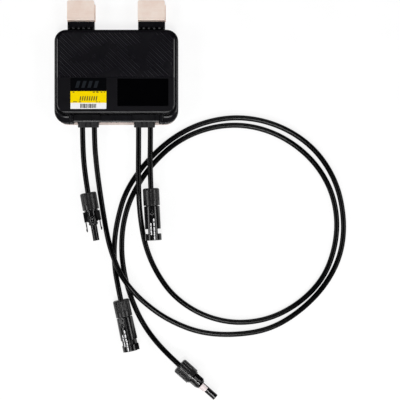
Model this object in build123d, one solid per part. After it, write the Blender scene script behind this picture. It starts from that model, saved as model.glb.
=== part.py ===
from build123d import *
import os
from math import cos, pi, radians, sin, tan

# A flat module-level solar electronics unit that clips to a panel frame, with four DC leads and their connectors.
# Millimetres. The unit lies on its back: +Z points out of the labelled cover, +Y towards the frame clips.
# The origin is on the resting face, under the middle of the unit without its leads.

# ---------------------------------------------------------------- case
case_half_width = 69.2
case_front = -67.2
case_rear = 38.2
case_front_radius = 15.0
case_rear_radius = 13.0
rim_height = 13.0
rim_fillet = 1.5
shoulder_height = 12.1
lip_half_width = 68.7
lip_front = -60.3
lip_rear = 37.7
lip_front_radius = 12.5
lip_rear_radius = 12.5
lip_slope = 1.4
lip_drop = 0.75
plate_screw_places = [(-65.2, -40.0), (65.2, -40.0), (-65.2, 15.0), (65.2, 15.0)]
plate_screw_radius = 1.2
plate_screw_depth = 8.0

plate_thickness = 1.2
plate_half_width = 68.4
plate_front = -67.8
plate_rear = 37.2

floor_top = 2.6
pocket_half_width = 62.5
pocket_front = -51.5
pocket_rear = 33.2
pocket_radius = 7.0

seat_height = 10.0
seat_half_width = 66.2
seat_front = -58.4
seat_rear = 36.4
seat_front_radius = 12.0
seat_rear_radius = 10.0

# ---------------------------------------------------------------- cover
cover_half_width = 65.5
cover_front = -55.0
cover_rear = 36.0
cover_radius = 9.5
cover_top = 22.9
cover_wall = 2.2
cover_rim_width = 1.5
cover_rim_step = 0.4
cover_edge_slope = 1.15
cover_edge_drop = 0.55
gasket_thickness = 0.5
gasket_inset = 0.3

label_box = (-50.3, -10.4, -51.0, -16.5)
label_thickness = 0.25
panel_box = (1.9, 58.4, -47.7, -17.4)
panel_thickness = 0.5
recess_gap = 0.5
recess_depth = 0.3

# ---------------------------------------------------------------- cable exits
exit_height = 8.0
inner_exit = 24.8
outer_exit = 38.0
exit_face = -71.0
gland_front = -65.0
gland_rear = -56.6
gland_inner = 18.3
gland_outer = 47.5
gland_top = 14.6
gland_gap = 0.2
ridge_slope = 1.4
ridge_drop = 0.7
strip_front = -65.2
strip_rear = -57.0
rib_inner = 48.3
rib_outer = 52.0
rib_top = 13.6
boss_radius = 5.2
sleeve_radius = 4.2
sleeve_end = -60.6

# ---------------------------------------------------------------- frame clips and their holders
clip_centre = 39.4
holder_half_width = 15.0
holder_end = 47.1
holder_bottom = 0.8
holder_top = 12.6
slot_half_width = 13.0
slot_rear = 41.2
slot_bottom = 1.9
slot_top = 10.5
scallops = 5
scallop_pitch = 5.76
scallop_radius = 1.7
scallop_rim_radius = 3.0
scallop_slope_depth = 0.75
scallop_line = 39.0
scallop_floor = 4.0

clip_steel = 1.2
clip_lower_level = 2.8
clip_inner_level = 9.6
clip_outer_level = 12.0
clip_closed_end = 42.1
clip_joggle_start = 47.4
clip_joggle_end = 49.4
clip_upper_end = 71.0
clip_lower_end = 68.2
clip_shank_half_width = 12.4
clip_jaw_half_width = 15.15
clip_lower_shift = 0.9
clip_bend_radius = 1.7
clip_joggle_radius = 0.9
clip_side_play = -0.35
clip_corner_radius = 2.4
clip_corner_chamfer = 2.0

# ---------------------------------------------------------------- electronics
filler_top = 4.6
board_thickness = 1.6
board_half_width = 60.0
board_front = -50.0
board_rear = 31.5
board_top = filler_top + board_thickness
conductor_radius = 1.4
conductor_end = -43.0
conductor_start = -60.0
screw_places = [(-55.0, 26.5), (55.0, 26.5), (-55.0, -36.0), (55.0, -36.0)]

# ---------------------------------------------------------------- leads and connectors
cable_radius = 3.0
nut_radius = 9.2
nut_rear = -0.4
nut_front = 19.1
nut_grooves = 18
groove_radius = 1.0
groove_depth = 0.55
groove_end = 13.0
thread_radius = 6.9
nut_bore = 7.2
cable_depth = 12.0
plug_length = 54.0
sleeve_turn = -57.0
socket_length = 58.0
wing_reach = 9.4
nose_radius = 3.6
dome_radius = 4.0
dome_place = 28.2
latch_root = 31.0
latch_inside = 7.35
latch_thickness = 1.1
latch_half_width = 2.3
socket_bore = 5.7
socket_flat = 8.8
socket_radius = 9.4
recess_floor = 8.1
bridge_half_width = 5.2
window_start = 45.2
window_end = 50.6
contact_radius = 2.6
contact_clearance = 0.05

# Each route runs from inside the unit to the crimp inside its connector. The last run is the connector's axis.
left_short_route = [
    (-38, -60, 8), (-38, -90, 8), (-35.1, -125.5, 9.4), (-29.7, -156, 9.4),
]
left_long_route = [
    (-24.8, -60, 8), (-24.8, -86, 8), (-22.5, -115, 4.2), (-19, -142, 3), (-14.6, -170, 3),
    (-10.5, -192, 6.6), (-6, -209, 9.6), (3, -233, 9.6), (16, -252, 9.6), (34, -270, 4.6),
    (58, -287, 3), (92, -301, 3), (130, -304, 3), (171, -298, 3), (205, -278, 3),
    (234, -249, 3), (252, -214, 3), (256, -175, 3), (247, -131, 3), (222, -93, 3),
    (184, -68, 3), (140, -58, 3), (98, -64, 3), (62, -82, 3), (32, -110, 3),
    (10, -142, 3), (1, -173, 3), (-3, -200, 3), (-2.6, -226.5, 3), (2.2, -251.2, 9.6),
    (7.4, -275.6, 9.6),
]
right_long_route = [
    (24.8, -60, 8), (24.8, -88, 8), (24.6, -117, 10), (24.9, -147, 9.6), (26.7, -174, 3.6),
    (32, -204, 3), (44, -233, 3), (64, -261, 3), (96, -282, 3), (133, -291, 3),
    (172, -286, 3), (207, -267, 3), (233, -239, 3), (245.5, -205, 3), (248, -170, 3),
    (239, -135, 3), (217, -103, 3), (183, -78.5, 3), (144, -67, 3), (104, -70, 3),
    (67, -86, 3), (36.5, -115, 3), (16, -148, 3), (7, -178, 3), (5, -208, 3),
    (8.5, -236, 3), (15, -259, 3), (24.5, -282, 3), (38, -304, 3), (58.6, -326.3, 9.4),
    (79.5, -344.9, 9.4),
]
right_short_route = [
    (38, -60, 8), (38, -84, 8), (37.5, -118, 10.1), (39.2, -151.2, 10.1),
]

# name, route, kind of connector, turn of the connector about its own axis in degrees
leads = [
    ("left_short", left_short_route, "plug", 0.0),
    ("left_long", left_long_route, "socket", 28.0),
    ("right_long", right_long_route, "plug", 57.0),
    ("right_short", right_short_route, "socket", 0.0),
]


# ---------------------------------------------------------------- helpers
def block(x_low, x_high, y_low, y_high, z_low, z_high):
    middle = ((x_low + x_high) / 2, (y_low + y_high) / 2, (z_low + z_high) / 2)
    return Pos(*middle) * Box(x_high - x_low, y_high - y_low, z_high - z_low)


def rounded_plate(half_width, front, rear, front_radius, rear_radius, z_low, z_high):
    outline = Rectangle(2 * half_width, rear - front)
    outline = fillet(outline.vertices().sort_by(Axis.Y)[:2], front_radius)
    outline = fillet(outline.vertices().sort_by(Axis.Y)[-2:], rear_radius)
    return Pos(0, (front + rear) / 2, z_low) * extrude(outline, amount=z_high - z_low)


def rod(radius, low, high):
    """Cylinder along Z from low to high."""
    return Pos(0, 0, (low + high) / 2) * Cylinder(radius, high - low)


def taper(low_radius, high_radius, low, high):
    """Cone frustum along Z from low to high."""
    return Pos(0, 0, (low + high) / 2) * Cone(low_radius, high_radius, high - low)


def rod_along_y(radius, x, z, front, rear):
    return Pos(x, (front + rear) / 2, z) * Rot(90, 0, 0) * Cylinder(radius, rear - front)


def bar_along_x(points, low, high):
    """Prism along X from low to high, over an outline of (y, z) points."""
    outline = Face(Wire.make_polygon([(low, y, z) for y, z in points]))
    return Solid.extrude(outline, Vector(high - low, 0, 0))


def top_edges(solid):
    return solid.faces().sort_by(Axis.Z)[-1].edges()


def sloped_top(solid, slope, drop):
    """Cuts the top outer edge back by a slope that falls outwards by a drop."""
    top = solid.faces().sort_by(Axis.Z)[-1]
    return chamfer(top.edges(), slope, drop, reference=top)


# ---------------------------------------------------------------- case
def back_plate():
    plate = rounded_plate(
        plate_half_width, plate_front, plate_rear, case_front_radius - 0.6, case_rear_radius - 0.8, 0, plate_thickness
    )
    for x, y in plate_screw_places:
        plate -= Pos(x, y, 0) * taper(2 * plate_screw_radius + 0.3, plate_screw_radius + 0.1, -0.01, plate_thickness)
    return plate


def plate_screws():
    """Countersunk screws that hold the back plate to the housing, each with a cross recess."""
    screws = []
    for x, y in plate_screw_places:
        screw = taper(2 * plate_screw_radius, plate_screw_radius, 0.1, plate_thickness)
        screw += rod(plate_screw_radius, plate_thickness - 0.1, plate_screw_depth)
        screw -= block(-1.1, 1.1, -0.25, 0.25, 0, 0.7)
        screw -= block(-0.25, 0.25, -1.1, 1.1, 0, 0.7)
        screws.append(Pos(x, y, 0) * screw)
    return Compound(children=screws)


def clip_holder(side):
    x = side * clip_centre
    holder = block(
        x - holder_half_width, x + holder_half_width, case_rear - 0.8, holder_end, holder_bottom, holder_top
    )
    holder = fillet(holder.faces().sort_by(Axis.Y)[-1].edges(), 0.6)
    holder -= block(x - slot_half_width, x + slot_half_width, slot_rear, holder_end + 1, slot_bottom, slot_top)
    holder -= block(x - 13.9, x + 13.9, case_rear + 0.2, scallop_line, scallop_floor, holder_top + 1)
    for number in range(scallops):
        place = Pos(x + (number - (scallops - 1) / 2) * scallop_pitch, scallop_line, 0)
        slope_bottom = holder_top - scallop_slope_depth
        holder -= place * rod(scallop_radius, scallop_floor, slope_bottom)
        holder -= place * taper(scallop_radius, scallop_rim_radius, slope_bottom, holder_top)
    return holder


def rear_housing():
    housing = rounded_plate(
        case_half_width, case_front, case_rear, case_front_radius, case_rear_radius, plate_thickness, shoulder_height
    )
    housing = fillet(top_edges(housing), rim_fillet)
    lip = rounded_plate(
        lip_half_width, lip_front, lip_rear, lip_front_radius, lip_rear_radius, seat_height, rim_height
    )
    housing += sloped_top(lip, lip_slope, lip_drop)
    housing -= rounded_plate(
        seat_half_width, seat_front, seat_rear, seat_front_radius, seat_rear_radius, seat_height, rim_height + 1
    )
    housing -= rounded_plate(
        pocket_half_width, pocket_front, pocket_rear, pocket_radius, pocket_radius, floor_top, rim_height
    )
    housing -= block(-gland_outer - 0.2, gland_outer + 0.2, case_front - 1, strip_front, 0, rim_height + 1)
    strip_points = ridge_points(strip_front, strip_rear, floor_top, rim_height)
    strip = bar_along_x(strip_points, gland_gap - gland_inner, gland_inner - gland_gap)
    for side in (-1, 1):
        low, high = sorted((side * (gland_inner - gland_gap), side * (gland_outer + gland_gap)))
        housing -= block(low, high, case_front - 1, gland_rear + gland_gap, floor_top, rim_height + 1)
        for gap_start, gap_end in ((gland_outer, rib_inner), (rib_outer, rib_outer + 0.9)):
            low, high = sorted((side * gap_start, side * gap_end))
            housing -= block(low, high, case_front - 1, gland_rear + gland_gap, 7.0, rim_height + 1)
        low, high = sorted((side * rib_inner, side * rib_outer))
        rib = block(low, high, -66.3, gland_rear, 9.0, rib_top)
        housing += fillet(top_edges(rib), 0.8)
        for x in (side * inner_exit, side * outer_exit):
            housing -= rod_along_y(conductor_radius + 0.1, x, exit_height, gland_rear - 1, pocket_front + 1)
        housing += clip_holder(side)
    for x, y in screw_places:
        post = Pos(x, y, 0) * rod(3.4, floor_top - 0.2, filler_top)
        housing += post
        housing -= Pos(x, y, 0) * rod(1.35, 1.8, filler_top + 1)
    for x, y in plate_screw_places:
        housing -= Pos(x, y, 0) * rod(plate_screw_radius + 0.05, 0, plate_screw_depth + 0.5)
    return housing + strip


def front_cover():
    cover = rounded_plate(
        cover_half_width, cover_front, cover_rear, cover_radius, cover_radius,
        seat_height + gasket_thickness, cover_top,
    )
    cover = sloped_top(cover, cover_edge_slope, cover_edge_drop)
    cover -= rounded_plate(
        cover_half_width - cover_rim_width, cover_front + cover_rim_width, cover_rear - cover_rim_width,
        cover_radius - cover_rim_width, cover_radius - cover_rim_width, cover_top - cover_rim_step, cover_top + 1,
    )
    cover -= rounded_plate(
        cover_half_width - cover_wall, cover_front + cover_wall, cover_rear - cover_wall,
        cover_radius - cover_wall, cover_radius - cover_wall, seat_height, cover_top - cover_wall,
    )
    face = cover_top - cover_rim_step
    for x_low, x_high, y_low, y_high in (label_box, panel_box):
        cover -= block(
            x_low - recess_gap, x_high + recess_gap, y_low - recess_gap, y_high + recess_gap,
            face - recess_depth, face + 1,
        )
    return cover


def cover_gasket():
    outer = cover_half_width - gasket_inset
    inner = cover_half_width - cover_wall + 0.1
    shift = cover_half_width - outer
    inner_shift = cover_half_width - inner
    top = seat_height + gasket_thickness
    ring = rounded_plate(
        outer, cover_front + shift, cover_rear - shift, cover_radius - shift, cover_radius - shift, seat_height, top
    )
    return ring - rounded_plate(
        inner, cover_front + inner_shift, cover_rear - inner_shift,
        cover_radius - inner_shift, cover_radius - inner_shift, seat_height - 1, top + 1,
    )


def sheet_in_recess(corners, thickness):
    """Flat piece that lies in a recess of the cover."""
    bottom = cover_top - cover_rim_step - recess_depth
    sheet = block(*corners, bottom, bottom + thickness)
    return fillet(sheet.edges().filter_by(Axis.Z), 0.6)


# ---------------------------------------------------------------- cable exits
def ridge_points(front, rear, bottom, top):
    """Outline of a bar whose top front edge slopes and whose top rear edge is eased."""
    return [
        (rear, bottom), (rear, top - 0.5), (rear - 0.5, top),
        (front + ridge_slope, top), (front + 0.1, top - ridge_drop), (front, top - ridge_drop - 0.1), (front, bottom),
    ]


def gland_block(side):
    low, high = sorted((side * gland_inner, side * gland_outer))
    body = bar_along_x(ridge_points(gland_front, gland_rear, floor_top, gland_top), low, high)
    for x in (side * inner_exit, side * outer_exit):
        body -= rod_along_y(sleeve_radius + 0.05, x, exit_height, gland_front - 1, sleeve_end)
        body -= rod_along_y(cable_radius + 0.1, x, exit_height, gland_front, conductor_start)
        body -= rod_along_y(conductor_radius + 0.1, x, exit_height, gland_front, gland_rear + 1)
    return body


def cable_grommet(side):
    inner = side * inner_exit
    outer = side * outer_exit
    middle = (inner + outer) / 2
    low, high = sorted((inner, outer))
    grommet = block(low, high, exit_face, gland_front, exit_height - 3.6, exit_height + 3.0)
    for x in (inner, outer):
        boss = rod_along_y(boss_radius, x, exit_height, exit_face, gland_front)
        grommet += fillet(boss.edges().sort_by(Axis.Y)[0], 0.7)
        grommet += rod_along_y(boss_radius + 0.15, x, exit_height, gland_front - 2.2, gland_front)
        grommet += rod_along_y(sleeve_radius, x, exit_height, gland_front, sleeve_end - 0.1)
    grommet += block(middle - 0.9, middle + 0.9, exit_face + 1.0, gland_front, exit_height + 2, exit_height + 4.4)
    for x in (inner, outer):
        grommet -= rod_along_y(cable_radius + 0.05, x, exit_height, exit_face - 1, sleeve_end + 1)
    return grommet


# ---------------------------------------------------------------- frame clips
def steel_strip(points, radii, half_width):
    """Bent flat strip: its middle line lies in the YZ plane, and it is as wide as two half widths along X."""
    path = FilletPolyline(*points, radius=radii)
    section = Plane(origin=path @ 0, x_dir=(1, 0, 0), z_dir=path % 0) * Rectangle(2 * half_width, clip_steel)
    return sweep(section, path=path)


def frame_clip(side):
    x = side * clip_centre + clip_side_play
    shank_points = [
        (0, clip_joggle_start, clip_lower_level),
        (0, clip_closed_end, clip_lower_level),
        (0, clip_closed_end, clip_inner_level),
        (0, clip_joggle_start, clip_inner_level),
    ]
    clip = Pos(x, 0, 0) * steel_strip(shank_points, [clip_bend_radius] * 2, clip_shank_half_width)
    jaw_points = [
        (0, clip_joggle_start, clip_inner_level),
        (0, clip_joggle_start + clip_joggle_radius, clip_inner_level),
        (0, clip_joggle_end, clip_outer_level),
        (0, clip_joggle_end + 4, clip_outer_level),
    ]
    clip += Pos(x, 0, 0) * steel_strip(jaw_points, [clip_joggle_radius] * 2, clip_jaw_half_width)
    upper = block(
        x - clip_jaw_half_width, x + clip_jaw_half_width, clip_joggle_end + 3, clip_upper_end,
        clip_outer_level - clip_steel / 2, clip_outer_level + clip_steel / 2,
    )
    upper = fillet(upper.edges().filter_by(Axis.Z).group_by(Axis.Y)[-1], clip_corner_radius)
    shift = x + clip_lower_shift
    lower = block(
        shift - clip_jaw_half_width, shift + clip_jaw_half_width, clip_joggle_start, clip_lower_end,
        clip_lower_level - clip_steel / 2, clip_lower_level + clip_steel / 2,
    )
    lower = chamfer(lower.edges().filter_by(Axis.Z).group_by(Axis.Y)[-1], clip_corner_chamfer)
    return clip + upper + lower


# ---------------------------------------------------------------- electronics
def thermal_filler():
    filler = rounded_plate(
        pocket_half_width - 1, pocket_front + 1, pocket_rear - 1, pocket_radius - 1, pocket_radius - 1,
        floor_top, filler_top,
    )
    for x, y in screw_places:
        filler -= Pos(x, y, 0) * rod(3.8, floor_top - 1, filler_top + 1)
    return filler


def circuit_board():
    board = rounded_plate(board_half_width, board_front, board_rear, 4, 4, filler_top, board_top)
    for x, y in screw_places:
        board -= Pos(x, y, 0) * rod(1.6, filler_top - 1, board_top + 1)
    return board


def board_screws():
    screws = []
    for x, y in screw_places:
        screw = rod(2.7, board_top, board_top + 1.7) + rod(1.3, 2.0, board_top)
        screw -= block(-0.4, 0.4, -2.0, 2.0, board_top + 0.9, board_top + 2)
        screws.append(Pos(x, y, 0) * screw)
    return Compound(screws)


def inductor_core():
    return Pos(-28, 6, 0) * (rod(14.0, 8.4, 17.0) - rod(7.4, 8, 18))


def inductor_winding():
    turns = []
    for number in range(14):
        turn = block(6.2, 15.2, -1.0, 1.0, 7.2, 18.2) - block(7.2, 14.2, -2, 2, 8.2, 17.2)
        turns.append(Pos(-28, 6, 0) * Rot(0, 0, number * 360 / 14) * turn)
    return Compound(turns)


def input_capacitors():
    places = [(-4 + 9 * number, 20.0) for number in range(6)]
    return Compound([block(x - 3.6, x + 3.6, y - 5.5, y + 5.5, board_top, board_top + 7.5) for x, y in places])


def output_capacitors():
    cans = []
    for number in range(3):
        can = rod(5.0, board_top, board_top + 12.5)
        cans.append(Pos(2 + 13 * number, -2, 0) * fillet(can.edges().sort_by(Axis.Z)[-1], 0.8))
    return Compound(cans)


def power_transistors():
    places = [(-40 + 12 * number, -22.0) for number in range(6)]
    return Compound([block(x - 3, x + 3, y - 2.6, y + 2.6, board_top, board_top + 1.1) for x, y in places])


def current_shunt():
    element = block(-54, -48, -14, -10, board_top + 0.4, board_top + 1.6)
    feet = block(-55, -53, -14, -10, board_top, board_top + 1.6) + block(-49, -47, -14, -10, board_top, board_top + 1.6)
    return element + feet


def control_chip():
    return block(38, 48, -14, -4, board_top, board_top + 1.5)


def radio_module():
    carrier = block(36, 54, 2, 13, board_top, board_top + 0.9)
    return carrier + block(37, 50, 3, 12, board_top + 0.9, board_top + 3.0)


def exit_places():
    return [-outer_exit, -inner_exit, inner_exit, outer_exit]


def lead_terminals():
    terminals = []
    for x in exit_places():
        terminal = block(x - 3, x + 3, -48.5, conductor_end - 0.5, board_top, exit_height + 2.2)
        terminals.append(terminal - rod_along_y(conductor_radius + 0.05, x, exit_height, -50, -40))
    return Compound(terminals)


def lead_conductors():
    return Compound(
        [rod_along_y(conductor_radius, x, exit_height, conductor_start, conductor_end) for x in exit_places()]
    )


# ---------------------------------------------------------------- connectors, each built along +Z from its cable end
def cap_nut():
    nut = rod(nut_radius, nut_rear, nut_front)
    nut = fillet(nut.edges().group_by(Axis.Z)[0], 2.2)
    nut = fillet(nut.edges().group_by(Axis.Z)[-1], 0.4)
    for number in range(nut_grooves):
        groove = rod(groove_radius, nut_rear - 1, groove_end) + Pos(0, 0, groove_end) * Sphere(groove_radius)
        centre = nut_radius + groove_radius - groove_depth
        nut -= Rot(0, 0, (number + 0.5) * 360 / nut_grooves) * Pos(centre, 0, 0) * groove
    nut -= rod(3.5, -1, 2.5)
    nut -= taper(5.2, 6.7, 2.0, 7.0)
    nut -= rod(nut_bore, 7.0, nut_front + 1)
    return nut


def clamp_collet():
    collet = taper(5.0, 6.2, 2.6, 6.6) + rod(6.2, 6.6, 7.8)
    collet -= rod(cable_radius + 0.15, 2, 9)
    for number in range(3):
        collet -= Rot(0, 0, number * 60) * block(-8, 8, -0.4, 0.4, 2, 6.0)
    return collet


def cable_seal():
    return rod(5.0, 8.3, 11.8) - rod(cable_radius + 0.05, 8, 12)


def threaded_end(body_start):
    """Rear end that the cap nut turns on, up to where the connector's body starts."""
    return rod(thread_radius, 8.0, body_start)


def contact_bores(body, front):
    body -= rod(5.3, 7, cable_depth + 0.3)
    body -= rod(contact_radius + contact_clearance, cable_depth, front)
    return body


def thumb_dome(level):
    """Low dome on a surface at a height over the connector's axis."""
    ball = Pos(0, level + 0.6 - dome_radius, dome_place) * Sphere(dome_radius)
    return ball & block(-3.2, 3.2, level - 1.0, level + 1.0, dome_place - 3.2, dome_place + 3.2)


def plug_body(has_sleeve):
    body = threaded_end(19.3) + rod(7.7, 19.3, 20.8)
    body += rod(5.6, 20.8, 25.8) + taper(5.6, 6.2, 25.8, 27.2)
    wing_end = 30.0 if has_sleeve else 32.0
    if has_sleeve:
        body += rod(6.2, 27.2, 30.6) + taper(6.2, 5.0, 30.6, 32.8)
    else:
        barrel = rod(6.2, 27.2, 32.8)
        body += fillet(barrel.edges().group_by(Axis.Z)[-1], 0.8)
        collar = rod(4.85, 32.0, 36.6)
        body += fillet(collar.edges().group_by(Axis.Z)[-1], 1.0)
        body -= rod(6, 34.0, 35.4) - rod(4.1, 33, 36)
    body += rod(nose_radius, 32.0, plug_length)
    for side in (0, 180):
        wing = block(5.0, wing_reach, -2.9, 2.9, 20.8, wing_end)
        wing = fillet(wing.edges().filter_by(Axis.Z).group_by(Axis.X)[-1], 0.9)
        if not has_sleeve:
            wing -= block(latch_inside - 0.3, latch_inside + latch_thickness + 0.3, -2.6, 2.6, 29.9, 33)
            body += Rot(0, 0, side) * thumb_dome(6.2)
        body += Rot(0, 0, side) * wing
    return contact_bores(body, plug_length + 1)


def latch_finger(side):
    outside = latch_inside + latch_thickness
    leaf = block(latch_inside, outside, -latch_half_width, latch_half_width, latch_root - 0.6, 41.0)
    outline = Polyline(
        (latch_inside, 39.6), (outside, 39.6), (outside + 0.7, 40.3), (outside + 0.2, 42.8),
        (outside - 0.5, 43.4), (latch_inside, 42.4), close=True,
    )
    barb = Pos(0, 1.6, 0) * Rot(90, 0, 0) * extrude(make_face(outline), amount=3.2)
    return Rot(0, 0, 0 if side > 0 else 180) * (leaf + barb)


def front_seal():
    return rod(5.2, 34.05, 35.35) - rod(4.15, 33, 36)


def front_sleeve():
    """Tapered collar, open along one side so that it snaps over the nose."""
    sleeve = taper(4.9, 4.1, 32.9, 40.4) - rod(nose_radius + 0.05, 32, 41)
    return sleeve - Rot(0, 0, sleeve_turn) * block(2.8, 6, -6, 6, 32, 41)


def thumb_recess():
    """Shallow pocket with a round front end, over the local XZ plane."""
    outline = SlotCenterToCenter(9.0, 6.6, rotation=90)
    return Pos(0, recess_floor, 23.2) * Rot(-90, 0, 0) * extrude(outline, amount=3)


def socket_body():
    body = threaded_end(20.0)
    shell = taper(9.0, socket_radius, 19.7, window_start) & block(-socket_flat, socket_flat, -10, 10, 19, 46)
    body += fillet(shell.edges().group_by(Axis.Z)[0], 0.6)
    body += rod(8.9, window_start, window_end) & block(-bridge_half_width, bridge_half_width, -9, 9, 45, 51)
    collar = rod(socket_radius, window_end, socket_length)
    body += fillet(collar.edges().group_by(Axis.Z)[0], 0.7)
    body -= rod(socket_bore, 30.0, socket_length + 1)
    for side in (-1, 1):
        low, high = sorted((side * (latch_inside - 0.3), side * 12))
        body -= block(low, high, -2.6, 2.6, window_end - 1, socket_length + 1)
        body -= Rot(0, 0, 90 - side * 90) * thumb_recess()
        body += Rot(0, 0, 90 - side * 90) * thumb_dome(recess_floor)
        pip = taper(1.9, 1.5, 7.6, 9.0)
        body += Pos(0, 0, 22.6) * Rot(-side * 90, 0, 0) * fillet(pip.edges().group_by(Axis.Z)[-1], 0.3)
    return contact_bores(body, 31.0)


def plug_contact():
    contact = rod(2.1, cable_depth, 20.0) + rod(contact_radius, 20.0, 50.0)
    return contact - rod(2.0, 30.0, 51.0)


def socket_contact():
    pin = rod(1.9, 28.0, 52.0)
    pin = fillet(pin.edges().group_by(Axis.Z)[-1], 1.2)
    return rod(2.1, cable_depth, 20.0) + rod(contact_radius, 20.0, 30.0) + pin


def connector_plane(route, roll):
    """Plane at the middle of the cap nut's rear face, with Z along the connector and X towards its first latch."""
    direction = (Vector(*route[-1]) - Vector(*route[-2])).normalized()
    sideways = Vector(-direction.Y, direction.X, 0).normalized()
    x_dir = sideways * cos(radians(roll)) + Vector(0, 0, 1) * sin(radians(roll))
    return Plane(origin=Vector(*route[-1]) - direction * cable_depth, x_dir=x_dir, z_dir=direction)


def connector_parts(name, kind):
    parts = {
        f"{name}_cap_nut": cap_nut(),
        f"{name}_clamp_collet": clamp_collet(),
        f"{name}_cable_seal": cable_seal(),
    }
    if kind == "socket":
        parts[f"{name}_socket_body"] = socket_body()
        parts[f"{name}_contact"] = socket_contact()
        return parts
    has_sleeve = name == "right_long"
    parts[f"{name}_plug_body"] = plug_body(has_sleeve)
    parts[f"{name}_contact"] = plug_contact()
    if has_sleeve:
        parts[f"{name}_front_sleeve"] = front_sleeve()
        return parts
    parts[f"{name}_front_seal"] = front_seal()
    parts[f"{name}_latch_a"] = latch_finger(1)
    parts[f"{name}_latch_b"] = latch_finger(-1)
    return parts


# ---------------------------------------------------------------- cables
def corner_radius(before, corner, after):
    """Arc of 0.45 of the shorter run: as large as the two runs allow."""
    first = Vector(*corner) - Vector(*before)
    second = Vector(*after) - Vector(*corner)
    half_turn = radians(first.get_angle(second)) / 2
    return 0.45 * min(first.length, second.length) / tan(half_turn)


def cable(name, route):
    radii = [corner_radius(*route[start:start + 3]) for start in range(len(route) - 2)]
    path = FilletPolyline(*route, radius=radii)
    tube = sweep(Plane(origin=path @ 0, z_dir=path % 0) * Circle(cable_radius), path=path)
    expected = pi * cable_radius ** 2 * path.length
    print(f"{name}: length {path.length:.1f}, least radius {min(radii):.1f}, volume {tube.volume:.0f}/{expected:.0f}")
    print("   radii", [round(radius) for radius in radii])
    return tube


# ---------------------------------------------------------------- assembly
def all_parts():
    parts = {
        "back_plate": back_plate(),
        "plate_screws": plate_screws(),
        "rear_housing": rear_housing(),
        "front_cover": front_cover(),
        "cover_gasket": cover_gasket(),
        "rating_label": sheet_in_recess(label_box, label_thickness),
        "cover_panel": sheet_in_recess(panel_box, panel_thickness),
        "thermal_filler": thermal_filler(),
        "circuit_board": circuit_board(),
        "board_screws": board_screws(),
        "inductor_core": inductor_core(),
        "inductor_winding": inductor_winding(),
        "input_capacitors": input_capacitors(),
        "output_capacitors": output_capacitors(),
        "power_transistors": power_transistors(),
        "current_shunt": current_shunt(),
        "control_chip": control_chip(),
        "radio_module": radio_module(),
        "lead_terminals": lead_terminals(),
        "lead_conductors": lead_conductors(),
    }
    for side, word in ((-1, "left"), (1, "right")):
        parts[f"gland_block_{word}"] = gland_block(side)
        parts[f"cable_grommet_{word}"] = cable_grommet(side)
        parts[f"frame_clip_{word}"] = frame_clip(side)
    for name, route, kind, roll in leads:
        parts[f"{name}_cable"] = cable(name, route)
        place = connector_plane(route, roll)
        for node, shape in connector_parts(name, kind).items():
            parts[node] = place * shape
    return parts


os.makedirs("parts", exist_ok=True)
for node, shape in all_parts().items():
    export_step(shape, f"parts/{node}.step")
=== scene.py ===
"""Looks of a flat solar electronics unit: materials, leads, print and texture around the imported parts.

Blender units are metres. Sizes below are in millimetres and become metres through MM, except in the
materials, the lights and where a comment says otherwise.
"""
from math import cos, hypot, radians, sin, sqrt

import bmesh
import bpy
from mathutils import Matrix, Vector


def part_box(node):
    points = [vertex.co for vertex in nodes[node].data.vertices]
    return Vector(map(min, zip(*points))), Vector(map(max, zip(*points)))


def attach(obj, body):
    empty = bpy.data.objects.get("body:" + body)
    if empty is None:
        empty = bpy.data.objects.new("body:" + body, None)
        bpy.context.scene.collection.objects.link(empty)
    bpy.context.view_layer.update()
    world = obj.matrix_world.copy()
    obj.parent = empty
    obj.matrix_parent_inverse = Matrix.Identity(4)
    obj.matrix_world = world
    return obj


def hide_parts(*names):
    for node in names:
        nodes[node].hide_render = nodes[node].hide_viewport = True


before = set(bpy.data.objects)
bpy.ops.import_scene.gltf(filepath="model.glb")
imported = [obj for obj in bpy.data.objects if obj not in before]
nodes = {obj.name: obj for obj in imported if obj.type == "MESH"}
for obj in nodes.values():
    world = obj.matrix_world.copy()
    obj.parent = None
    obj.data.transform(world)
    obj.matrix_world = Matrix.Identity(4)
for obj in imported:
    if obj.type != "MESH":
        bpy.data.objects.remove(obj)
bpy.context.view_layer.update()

MM = 0.001


# ---------------------------------------------------------------- camera, floor and light
camera_centre = (93.5, -152.1)
camera_height = 1710.0
framed_width = 447.2
framed_level = 10.0
sensor_width = 36.0
floor_half_width = 4000.0
floor_drop = 0.3

# name, compass angle, elevation, distance, width, height and power: degrees, metres and watts
softboxes = [
    ("key_softbox", 354, 70, 1.7, 0.35, 0.3, 9.8),
    ("front_softbox", 0, 40, 1.6, 1.3, 0.35, 11.5),
    ("left_softbox", 275, 35.5, 1.6, 1.0, 0.35, 6.5),
    ("right_softbox", 85, 42, 1.6, 1.0, 0.35, 6.5),
    ("back_softbox", 180, 45, 1.7, 1.2, 0.4, 4.5),
]


def make_camera():
    data = bpy.data.cameras.new("camera")
    data.sensor_width = sensor_width
    data.lens = sensor_width * (camera_height - framed_level) / framed_width
    data.clip_start = 0.05
    data.clip_end = 20.0
    camera = bpy.data.objects.new("camera", data)
    camera.location = (camera_centre[0] * MM, camera_centre[1] * MM, camera_height * MM)
    bpy.context.scene.collection.objects.link(camera)
    bpy.context.scene.camera = camera


def make_softbox(name, azimuth, elevation, distance, width, height, power):
    """Area light at that compass angle round the scene's middle, facing the middle. Angle 0 is in front."""
    data = bpy.data.lights.new(name, "AREA")
    data.shape = "RECTANGLE"
    data.size = width
    data.size_y = height
    data.energy = power
    light = bpy.data.objects.new(name, data)
    turn, lift = radians(azimuth), radians(elevation)
    outward = Vector((sin(turn) * cos(lift), -cos(turn) * cos(lift), sin(lift)))
    middle = Vector((camera_centre[0] * MM, camera_centre[1] * MM, 0))
    light.location = middle + outward * distance
    light.rotation_euler = outward.to_track_quat("Z", "Y").to_euler()
    bpy.context.scene.collection.objects.link(light)


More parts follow.
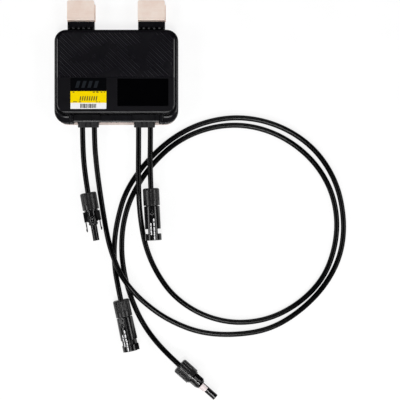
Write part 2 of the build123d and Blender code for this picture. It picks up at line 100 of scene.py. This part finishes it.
def make_floor():
    mesh = bpy.data.meshes.new("floor")
    half = floor_half_width * MM
    corners = [(-half, -half, 0), (half, -half, 0), (half, half, 0), (-half, half, 0)]
    mesh.from_pydata(corners, [], [(0, 1, 2, 3)])
    floor = bpy.data.objects.new("floor", mesh)
    floor.location = (camera_centre[0] * MM, camera_centre[1] * MM, -floor_drop * MM)
    bpy.context.scene.collection.objects.link(floor)
    mesh.materials.append(floor_material())


def make_world():
    world = bpy.data.worlds.new("studio")
    world.use_nodes = True
    background = world.node_tree.nodes["Background"]
    background.inputs["Color"].default_value = (0.93, 0.95, 1.0, 1)
    background.inputs["Strength"].default_value = 0.02
    bpy.context.scene.world = world


# ---------------------------------------------------------------- material building blocks
def start_material(name, **values):
    """New material whose shader has these constant values. Returns it with its node tree and shader."""
    material = bpy.data.materials.new(name)
    material.use_nodes = True
    tree = material.node_tree
    shader = tree.nodes["Principled BSDF"]
    for socket, value in values.items():
        shader.inputs[socket.replace("_", " ")].default_value = value
    return material, tree, shader


def coordinates(tree, stretch=(1, 1, 1)):
    """Position in the row frame, in metres, times a stretch for each axis."""
    place = tree.nodes.new("ShaderNodeTexCoord")
    mapping = tree.nodes.new("ShaderNodeMapping")
    mapping.inputs["Scale"].default_value = stretch
    tree.links.new(place.outputs["Object"], mapping.inputs["Vector"])
    return mapping.outputs["Vector"]


def noise(tree, vector, scale, detail=3.0, roughness=0.55):
    node = tree.nodes.new("ShaderNodeTexNoise")
    node.inputs["Scale"].default_value = scale
    node.inputs["Detail"].default_value = detail
    node.inputs["Roughness"].default_value = roughness
    tree.links.new(vector, node.inputs["Vector"])
    return node.outputs["Fac"]


def ramp(tree, value, stops, constant=False):
    """Colour ramp through (position, colour) stops."""
    node = tree.nodes.new("ShaderNodeValToRGB")
    node.color_ramp.interpolation = "CONSTANT" if constant else "LINEAR"
    elements = node.color_ramp.elements
    while len(elements) < len(stops):
        elements.new(0.5)
    for element, (position, colour) in zip(elements, stops):
        element.position = position
        element.color = (*colour, 1)
    tree.links.new(value, node.inputs["Fac"])
    return node.outputs["Color"]


def spread(tree, value, low, high, from_low=0.3, from_high=0.7):
    """Maps a noise value onto low to high."""
    node = tree.nodes.new("ShaderNodeMapRange")
    node.inputs["From Min"].default_value = from_low
    node.inputs["From Max"].default_value = from_high
    node.inputs["To Min"].default_value = low
    node.inputs["To Max"].default_value = high
    tree.links.new(value, node.inputs["Value"])
    return node.outputs["Result"]


def bump(tree, height, strength, distance, under=None):
    node = tree.nodes.new("ShaderNodeBump")
    node.inputs["Strength"].default_value = strength
    node.inputs["Distance"].default_value = distance
    tree.links.new(height, node.inputs["Height"])
    if under is not None:
        tree.links.new(under, node.inputs["Normal"])
    return node.outputs["Normal"]


def two_tones(tree, shader, vector, dark, light, scale):
    """Cloudy mix of two colours for the shader's base colour."""
    clouds = noise(tree, vector, scale, detail=4.0)
    tree.links.new(ramp(tree, clouds, [(0.32, dark), (0.68, light)]), shader.inputs["Base Color"])


def moulded_plastic(name, dark, light, low_gloss, high_gloss, grain=1500.0, depth=0.00001, level=0.34):
    """Moulded plastic with spark-eroded grain, faint flow clouds and uneven gloss."""
    material, tree, shader = start_material(name, Specular_IOR_Level=level)
    vector = coordinates(tree)
    two_tones(tree, shader, vector, dark, light, 45.0)
    fine = noise(tree, vector, grain, detail=2.0, roughness=0.6)
    patches = noise(tree, vector, 130.0, detail=3.0)
    tree.links.new(spread(tree, patches, low_gloss, high_gloss), shader.inputs["Roughness"])
    tree.links.new(bump(tree, fine, 0.35, depth), shader.inputs["Normal"])
    return material


def cover_plastic():
    """The cover's moulding: duller below the ribbed field than inside it."""
    material, tree, shader = start_material("cover_plastic", Specular_IOR_Level=0.34)
    vector = coordinates(tree)
    two_tones(tree, shader, vector, (0.0024, 0.0021, 0.0034), (0.0036, 0.0032, 0.0050), 45.0)
    split = tree.nodes.new("ShaderNodeSeparateXYZ")
    tree.links.new(vector, split.inputs["Vector"])
    gloss = spread(tree, split.outputs["Y"], 0.297, 0.18, (hatch_low - 1) * MM, hatch_low * MM)
    uneven = spread(tree, noise(tree, vector, 130.0), -0.012, 0.012)
    total = tree.nodes.new("ShaderNodeMath")
    tree.links.new(gloss, total.inputs[0])
    tree.links.new(uneven, total.inputs[1])
    tree.links.new(total.outputs[0], shader.inputs["Roughness"])
    fine = noise(tree, vector, 1500.0, detail=2.0, roughness=0.6)
    tree.links.new(bump(tree, fine, 0.3, 0.00001), shader.inputs["Normal"])
    return material


def rubber(name, dark, light, roughness=0.6):
    """Soft moulded rubber: dull, slightly dusty, with a faint orange-peel surface."""
    material, tree, shader = start_material(
        name, Specular_IOR_Level=0.4, Sheen_Weight=0.06, Sheen_Roughness=0.5
    )
    vector = coordinates(tree)
    two_tones(tree, shader, vector, dark, light, 120.0)
    peel = noise(tree, vector, 900.0, detail=3.0)
    tree.links.new(spread(tree, peel, roughness - 0.08, roughness + 0.1), shader.inputs["Roughness"])
    tree.links.new(bump(tree, peel, 0.3, 0.00005), shader.inputs["Normal"])
    return material


def rolled_metal(name, dark, light, low_gloss, high_gloss, along="X", metallic=1.0, depth=0.00002):
    """Rolled or brushed metal with fine lines along one axis, and cloudy tone."""
    material, tree, shader = start_material(name, Metallic=metallic)
    stretch = {"X": (0.03, 1, 1), "Y": (1, 0.03, 1), "Z": (1, 1, 0.03)}[along]
    lines = noise(tree, coordinates(tree, stretch), 2600.0, detail=3.0, roughness=0.65)
    clouds = noise(tree, coordinates(tree), 60.0, detail=4.0)
    mixed = tree.nodes.new("ShaderNodeMath")
    mixed.operation = "MULTIPLY_ADD"
    mixed.inputs[1].default_value = 0.35
    tree.links.new(lines, mixed.inputs[0])
    tree.links.new(clouds, mixed.inputs[2])
    tree.links.new(ramp(tree, mixed.outputs[0], [(0.45, dark), (0.9, light)]), shader.inputs["Base Color"])
    tree.links.new(spread(tree, lines, low_gloss, high_gloss), shader.inputs["Roughness"])
    tree.links.new(bump(tree, lines, 0.25, depth), shader.inputs["Normal"])
    return material


def floor_material():
    """White paper sweep that also glows a little, like a lit table, so that shadows stay faint."""
    material, tree, shader = start_material("floor_paper", Roughness=0.9, Specular_IOR_Level=0.1)
    paper = noise(tree, coordinates(tree), 30.0, detail=5.0)
    tree.links.new(
        ramp(tree, paper, [(0.3, (0.19, 0.19, 0.19)), (0.7, (0.21, 0.21, 0.21))]), shader.inputs["Base Color"]
    )
    shader.inputs["Emission Color"].default_value = (1, 1, 1, 1)
    shader.inputs["Emission Strength"].default_value = 0.82
    return material


# ---------------------------------------------------------------- materials of the object
def cable_jacket():
    """Extruded cable jacket: smooth, half gloss, with faint lengthwise unevenness and handling marks."""
    material, tree, shader = start_material("cable_jacket", Specular_IOR_Level=0.16)
    vector = coordinates(tree)
    two_tones(tree, shader, vector, (0.0004, 0.0004, 0.0005), (0.0012, 0.0012, 0.0014), 60.0)
    smears = noise(tree, vector, 240.0, detail=4.0)
    tree.links.new(spread(tree, smears, 0.17, 0.23), shader.inputs["Roughness"])
    skin = noise(tree, vector, 900.0, detail=2.0)
    tree.links.new(bump(tree, skin, 0.1, 0.00001), shader.inputs["Normal"])
    return material


def gloss_film():
    """Near-black glossy film with a faint haze."""
    material, tree, shader = start_material(
        "panel_film", Specular_IOR_Level=0.15, Coat_Weight=0.1, Coat_Roughness=0.04
    )
    vector = coordinates(tree)
    two_tones(tree, shader, vector, (0.0002, 0.0002, 0.0004), (0.0006, 0.0006, 0.001), 30.0)
    haze = noise(tree, vector, 80.0, detail=5.0)
    tree.links.new(spread(tree, haze, 0.08, 0.16), shader.inputs["Roughness"])
    tree.links.new(bump(tree, noise(tree, vector, 260.0), 0.06, 0.00002), shader.inputs["Normal"])
    return material


# where the label's yellow and black bands begin, as shares of its height
yellow_share = 0.192
black_share = 0.57


def label_film():
    """Printed film in three bands: white at the bottom, yellow, and black at the top."""
    material, tree, shader = start_material("label_film", Specular_IOR_Level=0.2)
    low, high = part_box("rating_label")
    vector = coordinates(tree)
    split = tree.nodes.new("ShaderNodeSeparateXYZ")
    tree.links.new(vector, split.inputs["Vector"])
    share = spread(tree, split.outputs["Y"], 0.0, 1.0, low.y, high.y)
    bands = ramp(
        tree, share,
        [(0.0, (0.95, 0.95, 0.95)), (yellow_share, (1.0, 0.74, 0.0)), (black_share, (0.0012, 0.0014, 0.002))],
        constant=True,
    )
    fibres = noise(tree, vector, 700.0, detail=3.0)
    tint = tree.nodes.new("ShaderNodeMix")
    tint.data_type = "RGBA"
    tint.blend_type = "MULTIPLY"
    tint.inputs["Factor"].default_value = 1.0
    tree.links.new(bands, tint.inputs["A"])
    tree.links.new(ramp(tree, fibres, [(0.3, (0.93, 0.93, 0.93)), (0.7, (1, 1, 1))]), tint.inputs["B"])
    tree.links.new(tint.outputs["Result"], shader.inputs["Base Color"])
    tree.links.new(spread(tree, fibres, 0.16, 0.24), shader.inputs["Roughness"])
    tree.links.new(bump(tree, fibres, 0.12, 0.00002), shader.inputs["Normal"])
    return material


def ink(name, dark, light, level=0.3):
    """Dull printing ink."""
    material, tree, shader = start_material(name, Specular_IOR_Level=level)
    vector = coordinates(tree)
    two_tones(tree, shader, vector, dark, light, 1600.0)
    tree.links.new(spread(tree, noise(tree, vector, 900.0), 0.4, 0.6), shader.inputs["Roughness"])
    return material


def board_laminate():
    """Solder mask with faint copper tracks under it."""
    material, tree, shader = start_material("board_laminate", Specular_IOR_Level=0.5, Coat_Weight=0.3)
    vector = coordinates(tree)
    tracks = tree.nodes.new("ShaderNodeTexVoronoi")
    tracks.distance = "MANHATTAN"
    tracks.inputs["Scale"].default_value = 160.0
    tree.links.new(vector, tracks.inputs["Vector"])
    tree.links.new(
        ramp(tree, tracks.outputs["Distance"], [(0.25, (0.012, 0.10, 0.035)), (0.4, (0.006, 0.055, 0.02))]),
        shader.inputs["Base Color"],
    )
    tree.links.new(spread(tree, noise(tree, vector, 500.0), 0.25, 0.4), shader.inputs["Roughness"])
    tree.links.new(bump(tree, tracks.outputs["Distance"], 0.2, 0.00003), shader.inputs["Normal"])
    return material


def make_materials():
    """Every material by its short name: dark and light tone, then low and high gloss."""
    return {
        "case": moulded_plastic(
            "case_plastic", (0.0022, 0.0020, 0.0032), (0.0034, 0.0031, 0.0050), 0.24, 0.32
        ),
        "cover": cover_plastic(),
        # the ribs use a lighter copy of the cover's plastic: painted highlight that brightens them beyond the
        # light their slopes catch
        "ribs": moulded_plastic(
            "cover_ribs", (0.007, 0.0065, 0.009), (0.020, 0.019, 0.023), 0.2, 0.26, level=0.45
        ),
        "gland": moulded_plastic(
            "gland_plastic", (0.0020, 0.0020, 0.0030), (0.0032, 0.0030, 0.0044), 0.25, 0.34, 1100.0
        ),
        "nut": moulded_plastic(
            "nut_plastic", (0.0045, 0.0043, 0.0047), (0.008, 0.0076, 0.008), 0.26, 0.36, 1200.0, level=0.5
        ),
        "connector": moulded_plastic(
            "connector_plastic", (0.0008, 0.0007, 0.0011), (0.0020, 0.0018, 0.0024), 0.15, 0.23, level=0.45
        ),
        "collet": moulded_plastic("collet_plastic", (0.05, 0.05, 0.052), (0.08, 0.08, 0.083), 0.4, 0.55),
        "sleeve": moulded_plastic("sleeve_plastic", (0.62, 0.50, 0.50), (0.85, 0.78, 0.78), 0.18, 0.3, 700.0),
        "chip": moulded_plastic("chip_moulding", (0.012, 0.012, 0.013), (0.02, 0.02, 0.021), 0.5, 0.65),
        "film_capacitor": moulded_plastic(
            "capacitor_case", (0.30, 0.24, 0.12), (0.38, 0.31, 0.17), 0.3, 0.45
        ),
        "filler": rubber("filler_silicone", (0.10, 0.10, 0.105), (0.15, 0.15, 0.155), 0.7),
        "gasket": rubber("gasket_rubber", (0.008, 0.008, 0.009), (0.014, 0.014, 0.015), 0.65),
        "grommet": rubber("grommet_rubber", (0.006, 0.006, 0.007), (0.011, 0.011, 0.012), 0.5),
        "seal": rubber("seal_rubber", (0.010, 0.010, 0.011), (0.017, 0.017, 0.018), 0.5),
        "ferrite": moulded_plastic(
            "ferrite_coating", (0.03, 0.035, 0.05), (0.045, 0.05, 0.07), 0.35, 0.5, 900.0
        ),
        "plate": rolled_metal(
            "plate_steel", (0.70, 0.58, 0.53), (0.84, 0.72, 0.66), 0.42, 0.55, metallic=0.15
        ),
        "clip": rolled_metal("clip_steel", (0.90, 0.70, 0.60), (1.0, 0.87, 0.78), 0.38, 0.5, metallic=0.15),
        "screw": rolled_metal("screw_steel", (0.55, 0.55, 0.56), (0.7, 0.7, 0.71), 0.25, 0.4, "Z"),
        "copper": rolled_metal("winding_copper", (0.62, 0.27, 0.12), (0.80, 0.38, 0.18), 0.25, 0.4, "Z"),
        "can": rolled_metal("capacitor_can", (0.62, 0.62, 0.64), (0.75, 0.75, 0.77), 0.2, 0.35, "Z"),
        "shunt": rolled_metal("shunt_metal", (0.42, 0.38, 0.33), (0.55, 0.50, 0.45), 0.3, 0.45),
        "shield": rolled_metal("module_shield", (0.6, 0.6, 0.6), (0.72, 0.72, 0.72), 0.25, 0.4),
        "terminal": rolled_metal("terminal_brass", (0.62, 0.46, 0.20), (0.75, 0.58, 0.28), 0.25, 0.4, "Y"),
        "contact": rolled_metal("contact_metal", (0.60, 0.60, 0.60), (0.74, 0.73, 0.71), 0.16, 0.3, "Y"),
        "board": board_laminate(),
        "label": label_film(),
        "panel": gloss_film(),
        "jacket": cable_jacket(),
        "black_ink": ink("black_ink", (0.010, 0.008, 0.004), (0.02, 0.016, 0.008)),
        "brown_ink": ink("brown_ink", (0.06, 0.036, 0.003), (0.10, 0.06, 0.005)),
        "grey_ink": ink("grey_ink", (0.008, 0.010, 0.013), (0.012, 0.015, 0.019), 0.08),
        # white for the sockets' stripes: painted highlight standing in for bright lines of reflected light,
        # made with the ink shader
        "painted_highlight_white": ink("painted_highlight_white", (0.80, 0.80, 0.82), (0.95, 0.95, 0.96)),
    }


material_of_node = {
    "back_plate": "plate", "rear_housing": "case", "front_cover": "cover", "cover_gasket": "gasket",
    "rating_label": "label", "cover_panel": "panel", "thermal_filler": "filler", "circuit_board": "board",
    "board_screws": "screw", "plate_screws": "screw",
    "inductor_core": "ferrite", "inductor_winding": "copper",
    "input_capacitors": "film_capacitor", "output_capacitors": "can", "power_transistors": "chip",
    "current_shunt": "shunt", "control_chip": "chip", "radio_module": "shield", "lead_terminals": "terminal",
    "lead_conductors": "copper", "gland_block_left": "gland", "gland_block_right": "gland",
    "cable_grommet_left": "grommet", "cable_grommet_right": "grommet",
    "frame_clip_left": "clip", "frame_clip_right": "clip",
}
material_of_ending = {
    "_cap_nut": "nut", "_clamp_collet": "collet", "_cable_seal": "seal", "_plug_body": "connector",
    "_socket_body": "connector", "_contact": "contact", "_front_seal": "seal", "_front_sleeve": "sleeve",
    "_latch_a": "connector", "_latch_b": "connector", "_cable": "jacket",
}


def finish_cad_nodes(materials):
    for name, node in nodes.items():
        key = material_of_node.get(name)
        for ending, ending_key in material_of_ending.items():
            if key is None and name.endswith(ending):
                key = ending_key
        node.data.materials.clear()
        node.data.materials.append(materials[key])


# ---------------------------------------------------------------- leads
cable_radius = 3.0
# how far a cable reaches into its connector, and where the grommets' bosses end
cable_depth = 12.0

left_short_route = [
    (-38, -60, 8), (-38, -90, 8), (-35.1, -125.5, 9.4), (-29.7, -156, 9.4),
]
left_long_route = [
    (-24.8, -60, 8), (-24.8, -86, 8), (-22.5, -115, 4.2), (-19, -142, 3), (-14.6, -170, 3),
    (-10.5, -192, 6.6), (-6, -209, 9.6), (3, -233, 9.6), (16, -252, 9.6), (34, -270, 4.6),
    (58, -287, 3), (92, -301, 3), (130, -304, 3), (171, -298, 3), (205, -278, 3),
    (234, -249, 3), (252, -214, 3), (256, -175, 3), (247, -131, 3), (222, -93, 3),
    (184, -68, 3), (140, -58, 3), (98, -64, 3), (62, -82, 3), (32, -110, 3),
    (10, -142, 3), (1, -173, 3), (-3, -200, 3), (-2.6, -226.5, 3), (2.2, -251.2, 9.6),
    (7.4, -275.6, 9.6),
]
right_long_route = [
    (24.8, -60, 8), (24.8, -88, 8), (24.6, -117, 10), (24.9, -147, 9.6), (26.7, -174, 3.6),
    (32, -204, 3), (44, -233, 3), (64, -261, 3), (96, -282, 3), (133, -291, 3),
    (172, -286, 3), (207, -267, 3), (233, -239, 3), (245.5, -205, 3), (248, -170, 3),
    (239, -135, 3), (217, -103, 3), (183, -78.5, 3), (144, -67, 3), (104, -70, 3),
    (67, -86, 3), (36.5, -115, 3), (16, -148, 3), (7, -178, 3), (5, -208, 3),
    (8.5, -236, 3), (15, -259, 3), (24.5, -282, 3), (38, -304, 3), (58.6, -326.3, 9.4),
    (79.5, -344.9, 9.4),
]
right_short_route = [
    (38, -60, 8), (38, -84, 8), (37.5, -118, 10.1), (39.2, -151.2, 10.1),
]

# name, route, length in metres, turn of the connector about its own axis in degrees
leads = [
    ("left_short", left_short_route, 0.0965, 0.0),
    ("left_long", left_long_route, 1.0055, 28.0),
    ("right_long", right_long_route, 1.0118, 57.0),
    ("right_short", right_short_route, 0.0913, 0.0),
]


def make_lead(name, route, material):
    """One lead's round jacket along its route, in place of its plain CAD tube."""
    curve = bpy.data.curves.new(name + "_jacket", "CURVE")
    curve.dimensions = "3D"
    spline = curve.splines.new("NURBS")
    spline.points.add(len(route) - 1)
    for point, place in zip(spline.points, route):
        point.co = (place[0] * MM, place[1] * MM, place[2] * MM, 1)
    spline.order_u = 3
    spline.use_endpoint_u = True
    spline.resolution_u = 14
    curve.bevel_depth = cable_radius * MM
    curve.bevel_resolution = 7
    curve.use_fill_caps = True
    curve.materials.append(material)
    jacket = bpy.data.objects.new(name + "_jacket", curve)
    bpy.context.scene.collection.objects.link(jacket)
    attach(jacket, "root")
    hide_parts(name + "_cable")


def connector_frame(route, roll):
    """Matrix in millimetres of a connector: origin in the cap nut's rear face, Z forward, X to its latch."""
    end = Vector(route[-1])
    forward = (end - Vector(route[-2])).normalized()
    sideways = Vector((-forward.y, forward.x, 0)).normalized()
    across = sideways * cos(radians(roll)) + Vector((0, 0, 1)) * sin(radians(roll))
    across = (across - forward * across.dot(forward)).normalized()
    up = forward.cross(across)
    origin = end - forward * cable_depth
    rows = [(across[i], up[i], forward[i], origin[i]) for i in range(3)]
    return Matrix((*rows, (0, 0, 0, 1)))


# ---------------------------------------------------------------- mesh pieces
def make_piece(name, mesh, material, body):
    """Puts a mesh in the scene as a piece that rides on a body."""
    mesh.materials.append(material)
    piece = bpy.data.objects.new(name, mesh)
    bpy.context.scene.collection.objects.link(piece)
    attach(piece, body)
    return piece


def mesh_of(name, vertices, faces, smooth=False):
    """Mesh from corners in millimetres, with its faces turned outward."""
    mesh = bpy.data.meshes.new(name)
    mesh.from_pydata([Vector(vertex) * MM for vertex in vertices], [], faces)
    shape = bmesh.new()
    shape.from_mesh(mesh)
    bmesh.ops.recalc_face_normals(shape, faces=shape.faces)
    shape.to_mesh(mesh)
    shape.free()
    for polygon in mesh.polygons:
        polygon.use_smooth = smooth
    return mesh


def add_slab(vertices, faces, outline, bottom, top):
    """Adds a closed slab over a flat outline of (x, y) points."""
    start = len(vertices)
    count = len(outline)
    vertices += [(x, y, bottom) for x, y in outline] + [(x, y, top) for x, y in outline]
    faces.append([start + index for index in range(count)])
    faces.append([start + count + index for index in range(count)])
    for index in range(count):
        following = (index + 1) % count
        faces.append([start + index, start + following, start + count + following, start + count + index])


# ---------------------------------------------------------------- ribbed texture on the cover
hatch_pitch = 2.01
hatch_width = 0.9
hatch_minor_share = 0.45
hatch_height = 0.2
hatch_angle = -44.0
hatch_low = -15.4
hatch_margin = 1.9
hatch_sampling = 0.5
hatch_fewest_samples = 6
hatch_end_slope = 0.6
hatch_end_share = 0.05
hatch_sink = 0.02
cover_corner = 8.0
ribbed_face_drop = 0.4
# cross section of a rib: share of its width, share of its height
rib_section = [(-0.5, 0.0), (-0.28, 0.75), (0.0, 1.0), (0.28, 0.75), (0.5, 0.0)]


def inside_rounded(x, y, half_width, low, high, radius):
    """Whether a point is inside a rectangle whose two upper corners are round."""
    if abs(x) > half_width or not low < y < high:
        return False
    over_x, over_y = abs(x) - (half_width - radius), y - (high - radius)
    return over_x < 0 or over_y < 0 or hypot(over_x, over_y) < radius


def make_hatch(material):
    """Fine slanting ribs on the upper part of the cover, low and round-topped, every second one smaller."""
    low, high = (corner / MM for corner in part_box("front_cover"))
    half_width = high.x - hatch_margin
    top = high.y - hatch_margin
    face = high.z - ribbed_face_drop
    along = Vector((cos(radians(hatch_angle)), sin(radians(hatch_angle)), 0))
    across = Vector((-along.y, along.x, 0))
    middle = Vector((0, (hatch_low + top) / 2, 0))
    reach = hypot(2 * half_width, top - hatch_low) / 2
    rows, samples = int(reach / hatch_pitch), int(reach / hatch_sampling)
    vertices, faces = [], []
    for row in range(-rows, rows + 1):
        centre = middle + across * row * hatch_pitch
        inside = []
        for number in range(-samples, samples + 1):
            point = centre + along * number * hatch_sampling
            if inside_rounded(point.x, point.y, half_width, hatch_low, top, cover_corner):
                inside.append(point)
        if len(inside) < hatch_fewest_samples:
            continue
        share = 1.0 if row % 2 == 0 else hatch_minor_share
        add_ridge(vertices, faces, inside[0], inside[-1], across * share, face, share * hatch_height)
    make_piece("cover_ribs", mesh_of("cover_ribs", vertices, faces, True), material, "root")


def add_ridge(vertices, faces, start, end, across, face, height):
    """Adds a ridge between two points, with ends that slope down to the face."""
    along = (end - start).normalized()
    slope = along * hatch_end_slope
    stations = [(start, hatch_end_share), (start + slope, 1.0), (end - slope, 1.0), (end, hatch_end_share)]
    first = len(vertices)
    for place, share in stations:
        for offset, lift in rib_section:
            point = place + across * offset * hatch_width
            vertices.append((point.x, point.y, face - hatch_sink + lift * height * share))
    width = len(rib_section)
    for station in range(len(stations) - 1):
        for column in range(width - 1):
            corner = first + station * width + column
            faces.append([corner, corner + 1, corner + 1 + width, corner + width])
        bottom = first + station * width
        faces.append([bottom, bottom + width, bottom + 2 * width - 1, bottom + width - 1])
    faces.append([first + index for index in range(width)])
    last = first + (len(stations) - 1) * width
    faces.append([last + index for index in range(width)])


# ---------------------------------------------------------------- print on the label
print_thickness = 0.03
print_sink = 0.01

# a mark is its left, right, bottom and top, as shares of the label, and the lean of its sides
bar_widths = (3, 1, 1, 2, 3, 1, 2, 1, 1, 1, 2, 3, 1, 2, 1, 2, 2, 1)
bar_gap = 0.9
bars_left, bars_width = 0.275, 0.45
bars_bottom, bars_top = 0.027, 0.163
heading_marks = [(0.25 + 0.064 * number, 0.28 + 0.064 * number, 0.268, 0.41, 0.2) for number in range(8)]
emblem_marks = [(0.13 + 0.17 * number, 0.225 + 0.17 * number, 0.68, 0.90, 0.3) for number in range(4)]
note_marks = [
    (0.06, 0.11, 0.525, 0.555, 0.0), (0.62, 0.68, 0.525, 0.555, 0.0), (0.72, 0.78, 0.52, 0.56, 0.0),
    (0.84, 0.885, 0.525, 0.555, 0.0), (0.93, 0.955, 0.525, 0.555, 0.0),
    (0.07, 0.185, 0.215, 0.24, 0.0), (0.235, 0.295, 0.215, 0.24, 0.0), (0.71, 0.755, 0.215, 0.24, 0.0),
    (0.79, 0.83, 0.215, 0.24, 0.0),
]


def label_place(across_share, up_share):
    """Position in millimetres of a point given as shares of the label."""
    low, high = (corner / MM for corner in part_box("rating_label"))
    return low.x + across_share * (high.x - low.x), low.y + up_share * (high.y - low.y)


def bar_marks():
    """A row of upright bars of uneven width, which stands for no number."""
    marks, left = [], bars_left
    unit = bars_width / (sum(bar_widths) + len(bar_widths) * bar_gap)
    for width in bar_widths:
        marks.append((left, left + width * unit, bars_bottom, bars_top, 0.0))
        left += (width + bar_gap) * unit
    return marks


def make_print(name, marks, material):
    """Plain printed marks on the label."""
    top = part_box("rating_label")[1].z / MM
    vertices, faces = [], []
    for left, right, bottom, up, lean in marks:
        x_low, y_low = label_place(left, bottom)
        x_high, y_high = label_place(right, up)
        shift = lean * (y_high - y_low)
        outline = [(x_low, y_low), (x_high, y_low), (x_high + shift, y_high), (x_low + shift, y_high)]
        add_slab(vertices, faces, outline, top - print_sink, top + print_thickness)
    make_piece(name, mesh_of(name, vertices, faces), material, "root")


def make_label_print(materials):
    make_print("label_bars", bar_marks(), materials["black_ink"])
    make_print("label_heading", heading_marks, materials["brown_ink"])
    make_print("label_notes", note_marks, materials["brown_ink"])
    make_print("label_emblem", emblem_marks, materials["grey_ink"])


# ---------------------------------------------------------------- painted highlight stripes on the sockets
stripe_thickness = 0.05
stripe_sink = 0.02
stripe_offset = 1.75
stripe_half_width = 0.62
stripe_steps = 5
# where each painted highlight stripe lies, from the cap nut's rear face
right_spans = [
    (33.6, 36.9), (38.2, 42.0), (43.2, 45.1), (45.3, 47.2), (47.9, 50.5), (50.7, 52.6), (53.2, 57.2),
]
left_spans = [(38.6, 42.0), (42.6, 45.1), (45.3, 46.0), (46.8, 50.5), (50.7, 51.8)]

# the socket's outside: a body that widens, a bridge over the latch window, then a collar
socket_start, window_start, window_end = 19.7, 45.2, 50.6
rear_radius, bridge_radius, front_radius = 9.0, 8.9, 9.4


def socket_radius(distance):
    """Outer radius of a socket at a distance from the cap nut's rear face."""
    if distance > window_end:
        return front_radius
    if distance > window_start:
        return bridge_radius
    share = (distance - socket_start) / (window_start - socket_start)
    return rear_radius + (front_radius - rear_radius) * share


def make_painted_highlights(name, route, roll, material):
    """Two broken pale stripes of painted highlight along the top of a socket, curved with its surface."""
    place = connector_frame(route, roll)
    vertices, faces = [], []
    for side, spans in ((1, right_spans), (-1, left_spans)):
        for start, end in spans:
            add_stripe(vertices, faces, place, side * stripe_offset, start, end)
    make_piece(name, mesh_of(name, vertices, faces), material, "root")


def add_stripe(vertices, faces, place, middle, start, end):
    """Adds one closed strip, curved across, from start to end along the socket."""
    first = len(vertices)
    steps = stripe_steps
    for station in (start, end):
        radius = socket_radius(station)
        for lift in (-stripe_sink, stripe_thickness):
            for number in range(steps):
                x = middle + stripe_half_width * (2 * number / (steps - 1) - 1)
                y = sqrt(radius ** 2 - x ** 2) + lift
                vertices.append(tuple(place @ Vector((x, y, station))))
    lower, upper, far = first, first + steps, 2 * steps
    for number in range(steps - 1):
        faces.append([lower + number, lower + number + 1, lower + number + 1 + far, lower + number + far])
        faces.append([upper + number, upper + number + far, upper + number + 1 + far, upper + number + 1])
    for start_index in (first, first + far):
        ring = [start_index + number for number in range(steps)]
        ring += [start_index + steps + number for number in reversed(range(steps))]
        faces.append(ring)
    for edge in (0, steps - 1):
        faces.append([lower + edge, lower + edge + far, upper + edge + far, upper + edge])


# ---------------------------------------------------------------- scene
def build():
    make_camera()
    make_floor()
    make_world()
    bpy.context.scene.view_settings.view_transform = "Standard"
    for softbox in softboxes:
        make_softbox(*softbox)
    materials = make_materials()
    finish_cad_nodes(materials)
    for name, route, length, _ in leads:
        make_lead(name, route, materials["jacket"])
    # the ribs' material carries a painted highlight, a lighter tone than the cover they are moulded on
    make_hatch(materials["ribs"])
    make_label_print(materials)
    for name, route, _, roll in leads:
        if name + "_socket_body" in nodes:
            # white stripes of painted highlight along the top of each socket
            make_painted_highlights(name + "_painted_highlights", route, roll, materials["painted_highlight_white"])


build()
